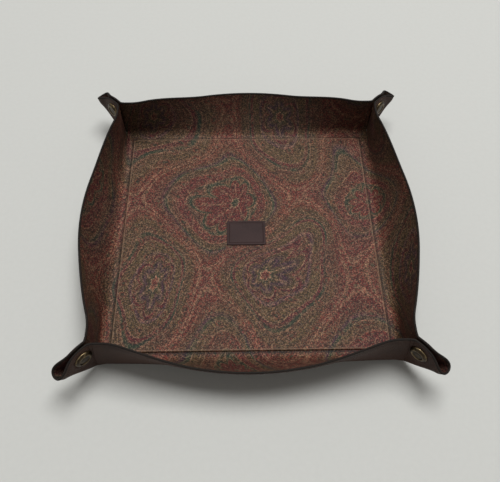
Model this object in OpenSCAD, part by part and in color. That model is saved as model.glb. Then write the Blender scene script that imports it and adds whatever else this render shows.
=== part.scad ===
// Square tray folded from one lined leather sheet, its four corners pinched by press snaps.
// Millimetres, Z up, origin at the middle of the flat underside. The front is toward -Y.

/* [Base] */
// Distance between opposite pressed creases of the base
crease_size = 190; // [160:1:220]
// Width of the pressed groove between the board and the bend
groove_w = 1.2; // [0.8:0.1:2.5]
// Radius of the rounded corners of the board
board_corner_r = 4; // [2:0.5:8]

/* [Sheet] */
// Thickness of the outer leather
leather_t = 1.4; // [1:0.1:1.8]
// Thickness of the inner lining
lining_t = 0.5; // [0.3:0.1:0.8]
// Thickness of the stiff board inside the base
board_t = 1.3; // [0.8:0.1:2]

/* [Walls] */
// Inner radius of the bend between the base and each wall
bend_r = 8; // [6:0.5:12]
// Slope of the bend where it reaches the fold
bend_angle = 45; // [38:1:50]
// How far the middle of a rim bows outward past its fold
wall_bow = 17.5; // [8:0.5:20]
// Height of the rim above the fold at the middle of a wall
rim_mid_h = 26.3; // [22:0.1:30]
// Height of the rim above the fold at the ends of a wall
rim_end_h = 33.2; // [28:0.1:38]
// How far the middle of a wall bellies out below its chord
wall_belly = 1.6; // [0:0.1:2.5]

/* [Ears] */
// Length of the ridge from the fold corner to the tip of an ear
ear_len = 35.5; // [30:0.5:40]
// Angle of the ridge from upright
ear_angle = 47; // [42:1:52]
// Inner radius of the loop at the tip of an ear
loop_r = 3.6; // [2.6:0.1:4.4]
// Half of the space between the linings where the ear is pinched
pinch_gap = 0.9; // [0.7:0.05:1.2]
// Radius of the bend between a wall and its ear
corner_r = 6.5; // [5:0.5:8]
// Distance along the pinched sheet before the loop begins to open
loop_start = 6; // [3:0.5:10]

/* [Snaps] */
// Outward distance from the fold corner to the snap
snap_out = 6.4; // [6:0.1:7.5]
// Height of the snap above the fold corner
snap_up = 23.3; // [20:0.1:25]
// Diameter of the cap
cap_d = 12.5; // [11:0.1:13.5]
// Height of the cap
cap_h = 2; // [1.4:0.1:2.6]
// Half of the space between the linings beside the closed snap
seat_gap = 0.63; // [0.55:0.01:0.8]
// Diameter of the socket
socket_d = 10.5; // [9.6:0.1:11.5]
// Diameter of the knob on the stud
knob_d = 4; // [3.4:0.1:4.2]
// Diameter of the post that passes through the sheet
post_d = 3.8; // [3:0.1:4.4]
// Diameter of the rivet head behind the stud
rivet_d = 8.6; // [7.5:0.1:10]

/* [Label] */
// Width of the label
label_w = 28.8; // [20:0.1:36]
// Depth of the label
label_h = 21.2; // [14:0.1:24]
// Thickness of the label
label_t = 1; // [0.6:0.1:1.5]
// How far the label sits to the right of the middle, or to the left where below zero
label_x = -1.9; // [-6:0.1:6]
// How far the label sits behind the middle, or in front where below zero
label_y = -0.7; // [-6:0.1:6]

/* [Hidden] */
WALLS = ["back", "left", "front", "right"];
// Opening angles of the folds, from snapped up to laid open
open_angle = 55;
ear_open_angle = 39.4;
// Running gap between parts that swing past each other
gap = 0.32;
// Share of a step along the rim that lies square to the seam at the loop
seam_share = 0.6;
// Height above the fold corner where the ears start
ear_root = 5.5;
// Shares of the half fold length that shape the rim
bow_share = 0.89;
rise_from_share = 0.34;
rise_to_share = 0.85;
// Most of the bend radius that the pared sheet may fill
pared_share = 0.8;
// Width over which the pared sheet regains its thickness
pared_w = 3;
// Extra room beside the wall where the bend is tightest
root_trim = 1.2;
// Flat seat round each snap, the soft edge that follows it and the bend beside it
seat_rim = 2.4;
seat_edge = 4;
seat_from = 1.5;
seat_blend = 1.8;
// Small sizes of the snap hardware
post_clear = 0.2;
flange_t = 0.4;
rivet_t = 0.7;
knob_clear = 0.8;
knob_end_gap = 0.3;
knob_neck = 0.3;
socket_face_gap = 0.2;
chamber_wall = 0.8;
chamber_lip = 0.4;
spring_wire_d = 0.6;
spring_clear = 0.05;
cap_brim = 1;
seat_clear = 0.04;
cap_ring_w = 1.3;
cap_ring_inset = 1.7;
cap_dish = 0.5;
// Small sizes of the label
label_corner_r = 1.2;
label_line_inset = 1.5;
label_line_w = 0.5;
label_line_deep = 0.3;
// Counts of facets
wall_cols = 24;
wall_rows = 4;
ear_cols = 11;
ear_rows = 8;
tip_cols = 4;
tip_rows = 4;
// Crowding of the facets toward the bend beside the wall
col_power = 1.4;
bend_steps = 8;
round_steps = 64;
// Step for measuring the slope of a surface
slope_step = 0.05;
slope_share = 0.002;

sheet_t = leather_t + lining_t;
crease = crease_size / 2;
fold = crease + bend_r * sin(bend_angle);
fold_z = sheet_t + bend_r * (1 - cos(bend_angle));
board_half = crease - groove_w - lining_t;
pad_z = leather_t + board_t + lining_t;
quarter = 45;
to_deg = 180 / PI;
start_gap = pinch_gap + corner_r * (1 - cos(quarter));
corner_draw = sqrt(2) * start_gap;
straight_from = corner_r * sin(quarter) - start_gap;
tip_out = ear_len * ear_angle / to_deg;
loop_out = tip_out - loop_r;
bend_len = corner_r * quarter / to_deg;
loop_from = bend_len + loop_out - straight_from;
root_share = ear_root / rim_end_h;
seam_trim = gap / 2 / seam_share;
seat_r = max(cap_d, socket_d) / 2 + seat_rim;
corner = [fold, fold, fold_z];
out_dir = [sqrt(0.5), sqrt(0.5), 0];
side_dir = [-sqrt(0.5), sqrt(0.5), 0];
up_dir = [0, 0, 1];
snap_gap = seat_gap + lining_t - seat_clear;
cap_seat = seat_gap + sheet_t + seat_clear;

leather_colour = [0.24, 0.19, 0.18];
lining_colour = [0.42, 0.25, 0.21];
board_colour = [0.55, 0.46, 0.34];
label_colour = [0.27, 0.20, 0.21];
brass_colour = [0.56, 0.49, 0.35];

function ease(t) = let (c = min(max(t, 0), 1)) c * c * (3 - 2 * c);
function unit(v) = v / norm(v);

// Rim and surface of a wall: u runs along the fold, s from the fold to the rim
function along(u) = abs(u) / fold;
function bow(u) = cos(90 * min(along(u) / bow_share, 1));
function rise(u) = ease((along(u) - rise_from_share) / (rise_to_share - rise_from_share));
function wall_foot(u) = [u, fold, fold_z];
function wall_rim(u) = [
    u - sign(u) * corner_draw * along(u) ^ 2,
    fold + wall_bow * bow(u),
    fold_z + rim_mid_h + (rim_end_h - rim_mid_h) * rise(u)
];
function wall_skin(u, s) =
    let (chord = wall_rim(u) - wall_foot(u))
    let (out = unit([0, chord[2], -chord[1]]))
    wall_foot(u) + s * chord + 4 * s * (1 - s) * wall_belly * bow(u) * out;
function wall_normal(u, s) =
    let (up = wall_skin(u, s + slope_share) - wall_skin(u, s - slope_share))
    let (side = wall_skin(u + slope_step, s) - wall_skin(u - slope_step, s))
    unit(cross(up, side));
function wall_point(u, s, t) = wall_skin(u, s) + t * wall_normal(u, s);
function foot_slope(u) =
    let (d = wall_skin(u, slope_share) - wall_foot(u)) atan2(d[2], d[1]);
function foot_trim(u, t) =
    gap / 2 + t * tan(max(0, 90 - foot_slope(u) - (bend_angle - open_angle / 2)));
function side_trim(t) = gap / 2 + (sheet_t - t) * tan(ear_open_angle / 2);
function wall_grid(t) = [
    for (c = [0:wall_cols])
    let (u = (2 * c / wall_cols - 1) * (fold - side_trim(t)))
    let (s0 = foot_trim(u, t) / norm(wall_rim(u) - wall_foot(u)))
    [for (r = [0:wall_rows]) wall_point(u, s0 + (1 - s0) * r / wall_rows, t)]
];

// Rim of an ear as distance out and half gap: l runs along the rim from the wall
function ear_bend(l) =
    let (a = quarter - l / corner_r * to_deg)
    [straight_from - corner_r * sin(a), pinch_gap + corner_r * (1 - cos(a))];
function ear_before(l) = [l * cos(quarter) - start_gap, start_gap - l * sin(quarter)];
function ear_straight(l) =
    let (x = straight_from + l - bend_len)
    [x, pinch_gap + (loop_r - pinch_gap) * ease((x - loop_start) / (loop_out - loop_start))];
function ear_loop(l) =
    let (a = (l - loop_from) / loop_r * to_deg) [loop_out + loop_r * sin(a), loop_r * cos(a)];
function ear_line(l) =
    l < 0 ? ear_before(l) : l < bend_len ? ear_bend(l) : l < loop_from ? ear_straight(l) : ear_loop(l);
function ear_rim(l) =
    let (p = ear_line(l))
    let (len = rim_end_h + (ear_len - rim_end_h) * min(max(p[0] / tip_out, 0), 1))
    let (a = p[0] / tip_out * ear_angle)
    len * sin(a) * out_dir + len * cos(a) * up_dir + p[1] * side_dir;
// The ear is a cone from the fold corner, pressed flat where the snap clamps it
function ear_skin(l, s) =
    let (v = s * ear_rim(l), out = v * out_dir, side = v * side_dir)
    let (near = 1 - ease((norm([out - snap_out, v[2] - snap_up]) - seat_r) / seat_edge))
    let (k = near * ease((s * l - seat_from) / seat_blend))
    corner + out * out_dir + v[2] * up_dir + (side + (seat_gap - side) * k) * side_dir;
function ear_normal(l, s) =
    let (up = ear_skin(l, s + slope_share) - ear_skin(l, s - slope_share))
    let (side = ear_skin(l + slope_step, s) - ear_skin(l - slope_step, s))
    unit(cross(up, side));
// The sheet is pared thinner toward the fold corner, where the bend is tight
function pared(l, s) = max(min(1, pared_share * s * corner_r / sheet_t), ease(s * l / pared_w));
function ear_point(l, s, t) = ear_skin(l, s) + t * pared(l, s) * ear_normal(l, s);
function loop_end(s) = loop_from + loop_r * acos(gap / 2 / (s * loop_r)) / to_deg;
function ear_grid(t, cols, rows) = [
    for (c = [0:cols])
    [
        for (r = [0:rows])
        let (s = root_share + (1 - root_share) * r / rows)
        let (thin = pared(0, s))
        let (l0 = (side_trim(t * thin) + root_trim * (1 - thin)) / s, l1 = loop_from - seam_trim / s)
        ear_point(l0 + (l1 - l0) * (c / cols) ^ col_power, s, t)
    ]
];
function tip_grid(t, cols, rows) = [
    for (c = [0:cols])
    [
        for (r = [0:rows])
        let (s = root_share + (1 - root_share) * r / rows)
        let (l0 = loop_from + seam_trim / s)
        ear_point(l0 + (loop_end(s) - l0) * c / cols, s, t)
    ]
];

// Closed shell between two grids of points with the same counts
module shell(inner, outer) {
    cols = len(inner) - 1;
    rows = len(inner[0]) - 1;
    n = (cols + 1) * (rows + 1);
    function i(c, r) = c * (rows + 1) + r;
    function o(c, r) = n + i(c, r);
    skins = [
        for (c = [0:cols - 1], r = [0:rows - 1]) each [
            [i(c, r), i(c, r + 1), i(c + 1, r + 1)],
            [i(c, r), i(c + 1, r + 1), i(c + 1, r)],
            [o(c, r), o(c + 1, r + 1), o(c, r + 1)],
            [o(c, r), o(c + 1, r), o(c + 1, r + 1)]
        ]
    ];
    ends = [
        for (r = [0:rows - 1]) each [
            [i(0, r), o(0, r), o(0, r + 1)],
            [i(0, r), o(0, r + 1), i(0, r + 1)],
            [i(cols, r), i(cols, r + 1), o(cols, r + 1)],
            [i(cols, r), o(cols, r + 1), o(cols, r)]
        ]
    ];
    edges = [
        for (c = [0:cols - 1]) each [
            [i(c, 0), i(c + 1, 0), o(c + 1, 0)],
            [i(c, 0), o(c + 1, 0), o(c, 0)],
            [i(c, rows), o(c, rows), o(c + 1, rows)],
            [i(c, rows), o(c + 1, rows), i(c + 1, rows)]
        ]
    ];
    polyhedron(points = concat([for (g = inner) each g], [for (g = outer) each g]),
        faces = concat(skins, ends, edges));
}

// Section of the base: t is the depth below the lining surface
function bend_end(t) =
    bend_angle - (gap / 2 + t * tan(open_angle / 2)) / (bend_r + t) * to_deg;
function bend_at(a, t) = [crease + (bend_r + t) * sin(a), sheet_t + bend_r - (bend_r + t) * cos(a)];
function bend_arc(t) = [for (k = [0:bend_steps]) bend_at(bend_end(t) * k / bend_steps, t)];
function reflected(points) = [for (k = [len(points) - 1:-1:0]) [-points[k][0], points[k][1]]];
module cross_prism(points) {
    span = 2 * (fold + sheet_t);
    outline = concat(points, reflected(points));
    intersection() {
        rotate([90, 0, 0]) linear_extrude(span, center = true) polygon(outline);
        rotate([90, 0, 90]) linear_extrude(span, center = true) polygon(outline);
    }
}
// Dished square layer between two depths, with its edge sloped for the fold
module dish(outer_t, inner_t) {
    top = bend_at(bend_end(inner_t), inner_t);
    difference() {
        cross_prism(concat(bend_arc(outer_t), [top]));
        cross_prism(concat(bend_arc(inner_t), [top + [sheet_t, sheet_t]]));
    }
}
module round_plate(half, r, h) {
    linear_extrude(h) {
        square([2 * half, 2 * (half - r)], center = true);
        square([2 * (half - r), 2 * half], center = true);
        for (x = [-1, 1], y = [-1, 1])
            translate([x * (half - r), y * (half - r)]) circle(r, $fn = round_steps);
    }
}

module base_leather() {
    color(leather_colour) dish(sheet_t, lining_t);
}

module base_board() {
    color(board_colour) translate([0, 0, leather_t]) round_plate(board_half, board_corner_r, board_t);
}

module base_lining() {
    pad_r = board_corner_r + lining_t;
    color(lining_colour) difference() {
        union() {
            dish(lining_t, 0);
            translate([0, 0, leather_t]) round_plate(board_half + lining_t, pad_r, board_t + lining_t);
        }
        translate([0, 0, leather_t]) round_plate(board_half, board_corner_r, board_t);
    }
}

module rounded_rect(w, h, r) {
    square([w, h - 2 * r], center = true);
    square([w - 2 * r, h], center = true);
    for (x = [-1, 1], y = [-1, 1])
        translate([x * (w / 2 - r), y * (h / 2 - r)]) circle(r, $fn = round_steps);
}

module label() {
    line_w = label_w - 2 * label_line_inset;
    line_h = label_h - 2 * label_line_inset;
    color(label_colour) translate([label_x, label_y, pad_z]) difference() {
        linear_extrude(label_t) rounded_rect(label_w, label_h, label_corner_r);
        translate([0, 0, label_t - label_line_deep]) linear_extrude(label_t) difference() {
            square([line_w, line_h], center = true);
            square([line_w - 2 * label_line_w, line_h - 2 * label_line_w], center = true);
        }
    }
}

module wall_leather(k) {
    color(leather_colour) rotate([0, 0, 90 * k]) shell(wall_grid(lining_t), wall_grid(sheet_t));
}

module wall_lining(k) {
    color(lining_colour) rotate([0, 0, 90 * k]) shell(wall_grid(0), wall_grid(lining_t));
}

// Places a half ear at one end of wall k: its right end, or its left end when flipped
module at_end(k, flip) {
    rotate([0, 0, 90 * k]) mirror([flip, 0, 0]) children();
}
// Frame of a snap, with its Z along the snap and zero midway between the halves
module at_snap(k, flip) {
    at_end(k, flip) translate(corner + snap_out * out_dir + snap_up * up_dir)
        rotate([0, 90, 90 + quarter]) children();
}
module sheet_hole(k, flip, d) {
    at_snap(k, flip) cylinder(h = cap_seat + loop_r, d = d, $fn = round_steps);
}

module ear_leather(k, flip) {
    color(leather_colour) difference() {
        at_end(k, flip)
            shell(ear_grid(lining_t, ear_cols, ear_rows), ear_grid(sheet_t, ear_cols, ear_rows));
        sheet_hole(k, flip, post_d + 2 * post_clear);
    }
}

module ear_lining(k, flip) {
    color(lining_colour) difference() {
        at_end(k, flip)
            shell(ear_grid(0, ear_cols, ear_rows), ear_grid(lining_t, ear_cols, ear_rows));
        sheet_hole(k, flip, socket_d + 2 * post_clear);
    }
}

module tip_leather(k, flip) {
    color(leather_colour) at_end(k, flip)
        shell(tip_grid(lining_t, tip_cols, tip_rows), tip_grid(sheet_t, tip_cols, tip_rows));
}

module tip_lining(k, flip) {
    color(lining_colour) at_end(k, flip)
        shell(tip_grid(0, tip_cols, tip_rows), tip_grid(lining_t, tip_cols, tip_rows));
}

// Round cap with a raised ring, a dished middle and its post through the sheet
module snap_cap(k, flip) {
    r = cap_d / 2;
    ring = r - cap_ring_inset;
    color(brass_colour) at_snap(k, flip) rotate_extrude($fn = round_steps) polygon([
        [0, snap_gap],
        [post_d / 2, snap_gap],
        [post_d / 2, cap_seat],
        [r - cap_brim / 2, cap_seat],
        [r, cap_seat + cap_brim / 2],
        [r, cap_seat + cap_brim],
        [ring, cap_seat + cap_h - cap_dish / 2],
        [ring - cap_brim / 2, cap_seat + cap_h],
        [ring - cap_ring_w, cap_seat + cap_h],
        [ring - cap_ring_w - cap_brim / 2, cap_seat + cap_h - cap_dish],
        [0, cap_seat + cap_h - cap_dish / 2]
    ]);
}

// Socket with its chamber, and the ring spring that lies in the chamber
module snap_socket(k, flip) {
    r = socket_d / 2;
    mouth = knob_d / 2 + knob_clear;
    chamber = mouth + chamber_wall;
    face = socket_face_gap + flange_t - snap_gap;
    floor_t = snap_gap - flange_t;
    spring_r = chamber - spring_clear - spring_wire_d / 2;
    color(brass_colour) at_snap(k, flip) {
        rotate_extrude($fn = round_steps) polygon([
            [0, floor_t],
            [chamber, floor_t],
            [chamber, face + chamber_lip],
            [mouth, face + chamber_lip],
            [mouth, face],
            [r - chamber_lip, face],
            [r, face + chamber_lip],
            [r, snap_gap],
            [0, snap_gap]
        ]);
        translate([0, 0, face + chamber_lip + spring_clear + spring_wire_d / 2])
            rotate_extrude($fn = round_steps)
            translate([spring_r, 0])
            circle(d = spring_wire_d, $fn = round_steps / 4);
    }
}

module snap_stud(k, flip) {
    knob_end = flange_t + knob_end_gap - snap_gap;
    knob_r = knob_d / 2;
    color(brass_colour) at_snap(k, flip) rotate_extrude($fn = round_steps) polygon([
        [0, knob_end],
        [knob_r - knob_neck, knob_end],
        [knob_r, knob_end + knob_neck],
        [knob_r, 0],
        [knob_r - knob_neck, knob_neck],
        [knob_r - knob_neck, snap_gap - flange_t],
        [rivet_d / 2, snap_gap - flange_t],
        [rivet_d / 2, snap_gap],
        [0, snap_gap]
    ]);
}

module snap_rivet(k, flip) {
    color(brass_colour) at_snap(k, flip) rotate_extrude($fn = round_steps) polygon([
        [0, snap_gap],
        [post_d / 2, snap_gap],
        [post_d / 2, cap_seat],
        [rivet_d / 2, cap_seat],
        [rivet_d / 2 - rivet_t / 2, cap_seat + rivet_t],
        [post_d / 2 - post_clear, cap_seat + rivet_t],
        [post_d / 2 - 2 * post_clear, cap_seat + rivet_t / 2],
        [0, cap_seat + rivet_t / 2]
    ]);
}

// Names: the neighbour of wall k at each end, and the corner they share
function neighbour(k, flip) = WALLS[(k + 3 + 2 * flip) % 4];
function corner_name(k, flip) =
    k % 2 == 0 ? str(WALLS[k], "_", neighbour(k, flip)) : str(neighbour(k, flip), "_", WALLS[k]);
function has_cap(k, flip) = k == 2 || (k != 0 && neighbour(k, flip) == "back");
function wall_name(k, layer) = str("wall_", WALLS[k], "_", layer);
function ear_name(k, flip, layer) = str("ear_", WALLS[k], "_at_", neighbour(k, flip), "_", layer);
function tip_name(k, flip, layer) = str("ear_tip_", WALLS[k], "_at_", neighbour(k, flip), "_", layer);
function snap_name(k, flip, piece) = str("snap_", piece, "_", corner_name(k, flip));
LAYERS = ["leather", "lining"];

base_leather();
base_board();
base_lining();
label();
for (k = [0:3]) {
    wall_leather(k);
    wall_lining(k);
}
for (k = [0:3], flip = [0, 1]) {
    ear_leather(k, flip);
    ear_lining(k, flip);
    tip_leather(k, flip);
    tip_lining(k, flip);
    if (has_cap(k, flip)) {
        snap_cap(k, flip);
        snap_socket(k, flip);
    } else {
        snap_stud(k, flip);
        snap_rivet(k, flip);
    }
}
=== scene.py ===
import math

import bmesh
import bpy
import numpy as np
from mathutils import Matrix, Vector


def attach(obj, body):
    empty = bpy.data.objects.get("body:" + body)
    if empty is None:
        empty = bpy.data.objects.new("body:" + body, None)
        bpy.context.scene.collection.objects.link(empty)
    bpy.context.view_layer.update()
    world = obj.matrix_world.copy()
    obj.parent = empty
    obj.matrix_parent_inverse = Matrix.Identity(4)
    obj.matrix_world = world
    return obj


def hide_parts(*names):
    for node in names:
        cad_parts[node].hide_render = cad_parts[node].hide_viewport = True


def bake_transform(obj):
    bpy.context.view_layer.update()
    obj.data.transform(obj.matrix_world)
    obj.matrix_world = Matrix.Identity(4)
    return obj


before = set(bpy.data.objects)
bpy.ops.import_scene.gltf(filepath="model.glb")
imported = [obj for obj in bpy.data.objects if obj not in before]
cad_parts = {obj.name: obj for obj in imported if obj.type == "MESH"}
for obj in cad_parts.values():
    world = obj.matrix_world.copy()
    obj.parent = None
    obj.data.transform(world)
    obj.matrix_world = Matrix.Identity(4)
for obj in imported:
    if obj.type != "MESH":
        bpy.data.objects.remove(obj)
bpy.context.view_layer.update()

mm = 0.001  # sizes below are in millimetres and degrees
quarter = math.radians(45)
wallNames = ["back", "left", "front", "right"]
outDir = np.array([math.sqrt(0.5), math.sqrt(0.5), 0.0])  # from the base's middle to its back right corner
sideDir = np.array([-math.sqrt(0.5), math.sqrt(0.5), 0.0])
upDir = np.array([0.0, 0.0, 1.0])


def newMaterial(name):
    material = bpy.data.materials.new(name)
    material.use_nodes = True
    tree = material.node_tree
    return material, tree, tree.nodes["Principled BSDF"]


def plug(tree, value, socket):
    if isinstance(value, bpy.types.NodeSocket):
        tree.links.new(value, socket)
    else:
        socket.default_value = value


def calc(tree, operation, a, b=None):
    node = tree.nodes.new("ShaderNodeMath")
    node.operation = operation
    plug(tree, a, node.inputs[0])
    if b is not None:
        plug(tree, b, node.inputs[1])
    return node.outputs[0]


def vectorCalc(tree, operation, a, b=None, scale=None):
    node = tree.nodes.new("ShaderNodeVectorMath")
    node.operation = operation
    plug(tree, a, node.inputs[0])
    if b is not None:
        plug(tree, b, node.inputs[1])
    if scale is not None:
        plug(tree, scale, node.inputs["Scale"])
    return node.outputs["Vector"]


def soften(tree, value, low, high):
    # 0 at low, 1 at high, smooth between them
    node = tree.nodes.new("ShaderNodeMapRange")
    node.interpolation_type = "SMOOTHSTEP"
    plug(tree, value, node.inputs["Value"])
    node.inputs["From Min"].default_value = low
    node.inputs["From Max"].default_value = high
    return node.outputs["Result"]


def remap(tree, value, low, high, toLow, toHigh):
    node = tree.nodes.new("ShaderNodeMapRange")
    plug(tree, value, node.inputs["Value"])
    for socket, number in zip(("From Min", "From Max", "To Min", "To Max"), (low, high, toLow, toHigh)):
        node.inputs[socket].default_value = number
    return node.outputs["Result"]


def blendColours(tree, share, first, second, how="MIX"):
    node = tree.nodes.new("ShaderNodeMix")
    node.data_type = "RGBA"
    node.blend_type = how
    plug(tree, share, node.inputs["Factor"])
    plug(tree, first, node.inputs[6])
    plug(tree, second, node.inputs[7])
    return node.outputs[2]


def noise(tree, vector, scale, detail=2.0, roughness=0.5, distortion=0.0):
    node = tree.nodes.new("ShaderNodeTexNoise")
    plug(tree, vector, node.inputs["Vector"])
    node.inputs["Scale"].default_value = scale
    node.inputs["Detail"].default_value = detail
    node.inputs["Roughness"].default_value = roughness
    node.inputs["Distortion"].default_value = distortion
    return node


def cells(tree, vector, scale, randomness, feature="F1"):
    node = tree.nodes.new("ShaderNodeTexVoronoi")
    node.voronoi_dimensions = "2D"
    node.feature = feature
    plug(tree, vector, node.inputs["Vector"])
    node.inputs["Scale"].default_value = scale
    node.inputs["Randomness"].default_value = randomness
    return node


def ramp(tree, value, stops):
    node = tree.nodes.new("ShaderNodeValToRGB")
    node.color_ramp.interpolation = "LINEAR"
    points = node.color_ramp.elements
    while len(points) > 1:
        points.remove(points[-1])
    for i, (place, colour) in enumerate(stops):
        point = points[0] if i == 0 else points.new(place)
        point.position = place
        point.color = toLinear(colour)
    plug(tree, value, node.inputs["Fac"])
    return node.outputs["Color"]


def toLinear(colour):
    # colours are written as they look on screen, 0 to 255
    return [((v / 255 + 0.055) / 1.055) ** 2.4 if v > 10 else v / 255 / 12.92 for v in colour] + [1.0]


def bump(tree, height, distance, strength):
    node = tree.nodes.new("ShaderNodeBump")
    plug(tree, height, node.inputs["Height"])
    node.inputs["Distance"].default_value = distance
    node.inputs["Strength"].default_value = strength
    return node.outputs["Normal"]


def flatPlace(tree):
    # place on the flat sheet in millimetres from its middle, from the sheet's own UV map
    uv = tree.nodes.new("ShaderNodeUVMap")
    uv.uv_map = "sheet"
    middle = vectorCalc(tree, "SUBTRACT", uv.outputs["UV"], (0.5, 0.5, 0.0))
    return vectorCalc(tree, "SCALE", middle, scale=sheet["uvSpan"])


def parts(tree, vector):
    node = tree.nodes.new("ShaderNodeSeparateXYZ")
    plug(tree, vector, node.inputs[0])
    return node.outputs[0], node.outputs[1], node.outputs[2]


def splitColour(tree, colour):
    node = tree.nodes.new("ShaderNodeSeparateColor")
    plug(tree, colour, node.inputs[0])
    return node.outputs[0], node.outputs[1], node.outputs[2]


def most(tree, *values):
    # the greatest of several values
    best = values[0]
    for value in values[1:]:
        best = calc(tree, "MAXIMUM", best, value)
    return best


def times(tree, *values):
    product = values[0]
    for value in values[1:]:
        product = calc(tree, "MULTIPLY", product, value)
    return product


sheet = {
    "uvSpan": 300.0,  # the UV map covers this width of flat sheet
    "thickness": 1.9, "lining": 0.5,
    "pressedLine": 94.4,  # distance of the line pressed round the base from its middle
}

canvas = {
    "ground": (80, 56, 43),
    "brick": (96, 47, 40),
    "wine": (80, 34, 37),
    "olive": (76, 61, 41),
    "moss": (42, 54, 41),
    "plum": (60, 38, 54),
    "tan": (150, 122, 100),
    "across": 104.0, "along": 146.0,  # width and length of one onion shaped cell of the pattern
    "shiftX": 21.0, "shiftY": -34.0,
    "drift": 46.0, "driftScale": 0.0095,  # how far the cells wander from an even lattice
    "wobble": 0.8, "wobbleScale": 0.09,
    "moodScale": 0.02, "mood": 0.45,  # slow change of the ground's colour
    "floretPitch": 13.0, "floretRing": 3.4,
    "flower": 17.0,  # radius of the flower in each cell
    "petals": 3.0, "petalDepth": 0.42, "petalRoot": 0.62, "petalPoint": 0.7,
    "squeezeTurn": 0.72, "squeeze": 0.52,  # flowers are longer than wide
    "borders": ((0.54, 0.008), (0.708, 0.009), (0.808, 0.008), (0.985, 0.012)),  # place and half width
    "contours": 22.0,  # fine lines from the middle of a cell to its edge
    "curls": 17.0, "curlScale": 0.036, "curlTwist": 0.9,
    "patchScale": 0.045,  # curls take the place of contours in patches
    "fineLine": 0.62,  # share of the light colour in contours and curls
    "wearScale": 0.5,
    "thread": 0.60,  # pitch of the woven threads
    "crossing": 0.65,  # how unevenly the threads cross
    "paintedGlintPower": 2.2, "dimPaintedGlint": 0.22, "brightPaintedGlint": 2.16,  # painted glints: most crossings are painted dark, and a few bright
    "cloud": 0.16, "cloudScale": 0.8,
    "tints": [(0.0, (200, 166, 170)), (0.5, (192, 180, 168)), (1.0, (178, 186, 164))],
    "tintShare": 0.85, "tintLight": 1.80,
    # share of tan in the painted glints
    "paintedTanGlint": 0.46,
    "groovePaintedShade": 0.55,  # painted shade in the pressed line
    "shoulder": 0.30, "shoulderHighlightIn": 1.45,  # painted highlight along its raised shoulder
    "wallPaintedShade": 0.42,  # painted shade: the walls' print is drawn darker than the base's
    # painted shade, deeper on the lining inside the ears
    "earPaintedShade": 0.72,
    "depth": 0.00009, "smooth": 0.55, "rough": 0.72, "specular": 0.25,
}
canvasBands = {  # place from the middle to the edge of a cell or flower, and the colour there
    "warmCell": [(0.00, "olive"), (0.40, "olive"), (0.46, "ground"), (0.515, "moss"), (0.53, "moss"),
                 (0.545, "brick"), (0.64, "wine"), (0.70, "brick"), (0.715, "ground"), (0.80, "olive"),
                 (0.815, "moss"), (0.84, "moss"), (0.85, "plum"), (0.885, "ground"), (0.96, "brick")],
    "coolCell": [(0.00, "brick"), (0.30, "brick"), (0.42, "ground"), (0.50, "ground"), (0.51, "plum"),
                 (0.55, "plum"), (0.56, "olive"), (0.70, "olive"), (0.715, "wine"), (0.75, "wine"),
                 (0.765, "moss"), (0.79, "moss"), (0.80, "ground"), (0.90, "olive"), (0.97, "brick")],
    "warmFlower": [(0.00, "moss"), (0.13, "moss"), (0.16, "tan"), (0.19, "wine"), (0.36, "brick"),
                   (0.55, "wine"), (0.80, "brick"), (0.90, "moss"), (0.97, "moss")],
    "coolFlower": [(0.00, "wine"), (0.16, "brick"), (0.22, "tan"), (0.26, "moss"), (0.40, "olive"),
                   (0.62, "plum"), (0.82, "olive"), (0.90, "wine"), (0.97, "wine")],
}


def wander(tree, vector, scale, reach):
    # the place moved by a smooth random step
    step = vectorCalc(tree, "SUBTRACT", noise(tree, vector, scale, 1.0).outputs["Color"], (0.5, 0.5, 0.5))
    return vectorCalc(tree, "SCALE", step, scale=reach)


def thinLine(tree, value, middle, half):
    # 1 on a thin line where value is near middle, 0 beside it
    off = calc(tree, "ABSOLUTE", calc(tree, "SUBTRACT", value, middle))
    return soften(tree, off, half, half * 0.35)


def toward(tree, colour, share, name):
    # the colour with a share of a named one
    return blendColours(tree, share, colour, toLinear(canvas[name]))


def bands(tree, value, kind, what):
    cool, warm = (ramp(tree, value, [(place, canvas[colour]) for place, colour in canvasBands[side + what]])
                  for side in ("cool", "warm"))
    return blendColours(tree, kind, cool, warm)


def latticeCell(tree, bent):
    # rounded diamond cells in two kinds: 0 in the middle of a cell and 1 on its edge, the kind,
    # and the place measured from the cell's middle
    x, y, _ = parts(tree, bent)
    u = calc(tree, "DIVIDE", calc(tree, "ADD", x, canvas["shiftX"]), canvas["across"])
    v = calc(tree, "DIVIDE", calc(tree, "ADD", y, canvas["shiftY"]), canvas["along"])
    waves = calc(tree, "ADD", calc(tree, "COSINE", times(tree, u, 2 * math.pi)),
                 calc(tree, "COSINE", times(tree, v, 2 * math.pi)))
    kind = calc(tree, "GREATER_THAN", waves, 0.0)
    rise = calc(tree, "MULTIPLY", calc(tree, "SUBTRACT", 2.0, calc(tree, "ABSOLUTE", waves)), 0.5)
    ring = calc(tree, "SQRT", calc(tree, "MAXIMUM", rise, 0.0))
    half = calc(tree, "MULTIPLY", calc(tree, "SUBTRACT", 1.0, kind), 0.5)
    local = []
    for part, size in ((u, canvas["across"]), (v, canvas["along"])):
        inCell = calc(tree, "FRACT", calc(tree, "ADD", calc(tree, "ADD", part, half), 0.5))
        local.append(times(tree, calc(tree, "SUBTRACT", inCell, 0.5), size))
    return ring, kind, local


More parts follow.
